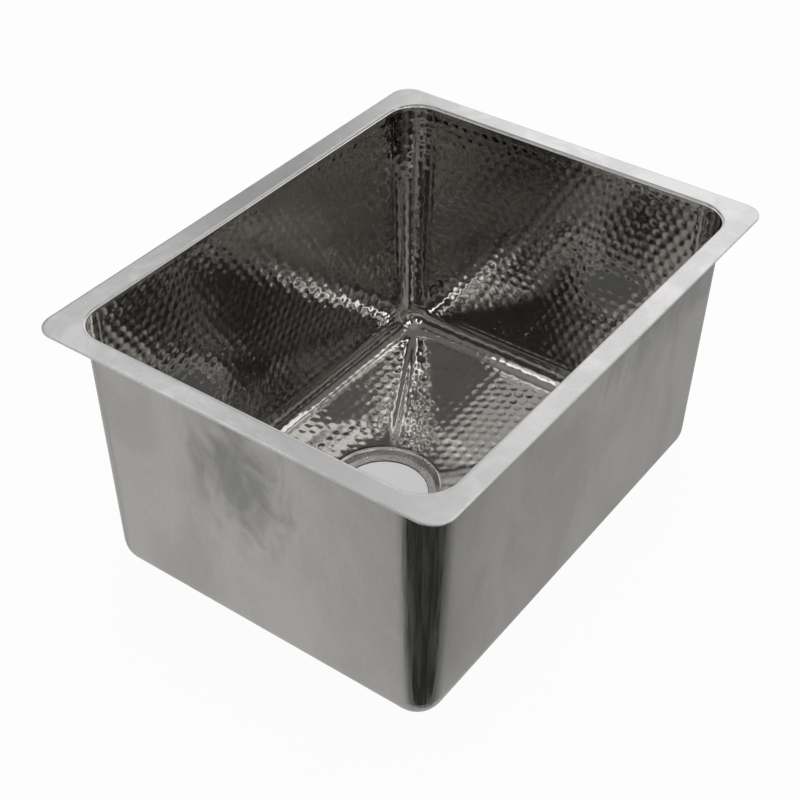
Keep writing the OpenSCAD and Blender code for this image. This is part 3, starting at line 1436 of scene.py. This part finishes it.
@dataclass
class Studio:
    """Floor, surroundings, cards, lamp and camera.

    Attributes:
        surround: Brightness of the surroundings.
        panels: Soft patches of light and shade in them.
        cards: Flat cards round the sink.
        floor_colour: The floor's colour.
        floor_white: Share of the floor's white that doesn't depend on the lamps.
        floor_half: Half the floor's length and width.
        drain_at: Middle of the drain, through which the floor shows in its own shade.
        drain_shade: Distances from there between which the floor's white comes back.
        drain_white: Share of the white that stays at the drain.
        lamp_at: Middle of the lamp.
        lamp_side: Length and width of the lamp.
        lamp_power: Its power in watts.
    """
    surround: float = 0.07
    panels: tuple[Panel, ...] = (
        Panel(22, 8, 10, 25, 38, 4, 1.20),
        Panel(22, 6, 6, 44, 54, 3, 1.00),
        Panel(39, 8, 6, 42, 53, 3, 0.60),
        Panel(41, 8, 6, 24, 33, 4, 0.12),
        Panel(53, 6, 6, 33, 48, 3, 0.95),
        Panel(96, 12, 7, 42, 52, 3, 0.70),
        Panel(112, 4, 5, 15, 38, 4, 1.00),
        Panel(134, 4, 4, 52, 60, 3, 1.80),
        Panel(139, 1.2, 1.5, 28, 34, 1.5, 3.50),
        Panel(152, 10, 6, 45, 56, 3, 0.85),
        Panel(177, 3, 4, 53, 60, 3, 1.90),
        Panel(196, 1.2, 1.5, 36, 54, 2, 5.50),
        Panel(212, 10, 8, 42, 60, 4, 0.33),
        Panel(240, 14, 10, -5, 31, 4, 0.45),
        Panel(246, 1.5, 1.5, 46, 59, 2, 6.00),
        Panel(267, 2, 2, 48, 55, 2, 7.00),
        Panel(298, 6, 5, 33, 48, 3, 2.30),
        Panel(322, 6, 6, 12, 25, 3, 1.00),
        Panel(333, 8, 4, 46, 58, 3, 1.50),
        Panel(357, 5, 4, 34, 60, 3, 0.90),
        Panel(0, 180, 0, -5, 18, 6, 1.10),
        Panel(0, 180, 0, 63, 90, 4, 0.30),
    )
    cards: tuple[Card, ...] = (
        Card("board_under", 0.0005, ((-2.5, -2.5), (2.5, -2.5), (2.5, 2.5), (-2.5, 2.5)), 0.55),
        Card("board_right", 0.0010, ((-0.20, -0.20), (-0.20, -2.5), (2.5, -2.5), (2.5, 0.30)), 0.42),
        # A dim card under the drain: painted shade for the floor in the sink's shadow, as the gloss sees it.
        Card("drain_shadow_card", 0.0009, ((-0.08, -0.04), (0.08, -0.04), (0.08, 0.12), (-0.08, 0.12)), 0.10),
        Card("board_front_edge", 0.002, ((-0.240, -0.180), (-2.15, 0.92), (-2.4, -2.4), (1.66, -1.28)), 0.22),
        Card("board_front", 0.003, ((-0.245, -0.185), (-2.40, 0.28), (-2.4, -2.4), (0.96, -2.26)), 0.04),
    )
    floor_colour: tuple[float, float, float] = (0.86, 0.86, 0.86)
    floor_white: float = 0.95
    floor_half: float = 12.0
    drain_at: tuple[float, float, float] = (0.0, SinkSizes.drain_back, 0.0)
    drain_shade: tuple[float, float] = (0.050, 0.075)
    drain_white: float = 0.15
    lamp_at: tuple[float, float, float] = (0.2, 0.1, 2.4)
    lamp_side: float = 1.6
    lamp_power: float = 22.0

    CAMERA_AT = (-0.947046, -0.656085, 1.076345)
    CAMERA_FORWARD = (0.63124, 0.450348, -0.631446)
    CAMERA_UP = (0.508595, 0.374308, 0.775386)
    LENS = 69.93
    SENSOR = 36.0

    def build(self) -> None:
        """Sets the studio up."""
        self._build_floor()
        self._build_surroundings()
        for card in self.cards:
            self._build_card(card)
        self._build_lamp()
        self._build_camera()
        bpy.context.scene.view_settings.view_transform = "Standard"

    def _stage_mesh(self, name: str, level: float, corners: tuple[tuple[float, float], ...],
                    material: bpy.types.Material) -> bpy.types.Object:
        """Makes a flat stage piece.

        Args:
            name: The piece's name.
            level: Its height.
            corners: Its corners, along X and Y.
            material: Its material.

        Returns:
            The piece.
        """
        mesh = bpy.data.meshes.new(name)
        mesh.from_pydata([(x, y, level) for x, y in corners], [], [tuple(range(len(corners)))])
        mesh.materials.append(material)
        made = put_down(name, mesh)
        return made

    def _build_floor(self) -> None:
        """Lays the pale floor, which keeps the sink's shadow."""
        material, graph = new_material("studio_floor")
        matt = graph.node("ShaderNodeBsdfDiffuse", None, {"Color": (*self.floor_colour, 1.0)})
        glow = graph.node("ShaderNodeEmission", None, {"Color": (1, 1, 1, 1), "Strength": 1.0})
        seen = graph.node("ShaderNodeLightPath", output="Is Camera Ray")
        seen = seen + graph.node("ShaderNodeLightPath", output="Is Glossy Ray")
        seen = (seen + graph.node("ShaderNodeLightPath", output="Is Transmission Ray")).held()
        place = graph.node("ShaderNodeTexCoord", output="Object")
        away = graph.node("ShaderNodeVectorMath", {"operation": "DISTANCE"},
                          {0: place, 1: self.drain_at}, "Value")
        shade = away.between(*self.drain_shade) * (1 - self.drain_white) + self.drain_white
        white = seen * self.floor_white * shade
        mixed = graph.node("ShaderNodeMixShader", None, {0: white, 1: matt, 2: glow})
        graph.node("ShaderNodeOutputMaterial", None, {"Surface": mixed})
        half = self.floor_half
        corners = ((-half, -half), (half, -half), (half, half), (-half, half))
        self._stage_mesh("studio_floor", 0.0, corners, material)

    def _build_surroundings(self) -> None:
        """Sets the brightness of the surroundings by direction."""
        world = bpy.data.worlds.new("studio")
        world.use_nodes = True
        bpy.context.scene.world = world
        graph = ShaderGraph(world.node_tree)
        direction = graph.node("ShaderNodeTexCoord", output="Generated")
        upright = graph.node("ShaderNodeSeparateXYZ", None, {"Vector": direction}, "Z")
        reach = (1 - upright * upright).larger(0.0001) ** 0.5
        level = self.surround
        for panel in self.panels:
            level = panel.share(graph, direction, upright, reach) * panel.strength + level
        background = graph.node("ShaderNodeBackground", None, {"Strength": level.larger(0.0)})
        graph.node("ShaderNodeOutputWorld", None, {"Surface": background})

    def _build_card(self, card: Card) -> None:
        """Lays one card down.

        Args:
            card: The card.
        """
        material, graph = new_material(card.name)
        glow = graph.node("ShaderNodeEmission", None, {"Color": (1, 1, 1, 1), "Strength": card.strength})
        graph.node("ShaderNodeOutputMaterial", None, {"Surface": glow})
        made = self._stage_mesh(card.name, card.level, card.corners, material)
        made.visible_camera = False
        made.visible_diffuse = False
        made.visible_shadow = False
        made.visible_transmission = False

    def _build_lamp(self) -> None:
        """Hangs one large soft lamp over the sink."""
        data = bpy.data.lights.new("soft_lamp", "AREA")
        data.shape = "RECTANGLE"
        data.size = self.lamp_side
        data.size_y = self.lamp_side
        data.energy = self.lamp_power
        lamp = put_down("soft_lamp", data)
        lamp.location = self.lamp_at
        lamp.visible_glossy = False

    def _build_camera(self) -> None:
        """Stands the camera where the photograph was taken from."""
        data = bpy.data.cameras.new("camera")
        data.lens = self.LENS
        data.sensor_width = self.SENSOR
        camera = put_down("camera", data)
        back = -Vector(self.CAMERA_FORWARD).normalized()
        right = Vector(self.CAMERA_UP).cross(back).normalized()
        turn = Matrix((right, back.cross(right), back)).transposed()
        camera.matrix_world = Matrix.Translation(self.CAMERA_AT) @ turn.to_4x4()
        bpy.context.scene.camera = camera


def main() -> None:
    """Builds the pieces in order, then the studio."""
    logging.basicConfig(level=logging.INFO, format="%(message)s")
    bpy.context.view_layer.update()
    sizes = SinkSizes.from_frame()
    Bowl(sizes, HammerMarks()).build()
    RimFlange(sizes).build()
    DrainCup(sizes).build()
    Studio().build()


if __name__ == "__main__":
    main()
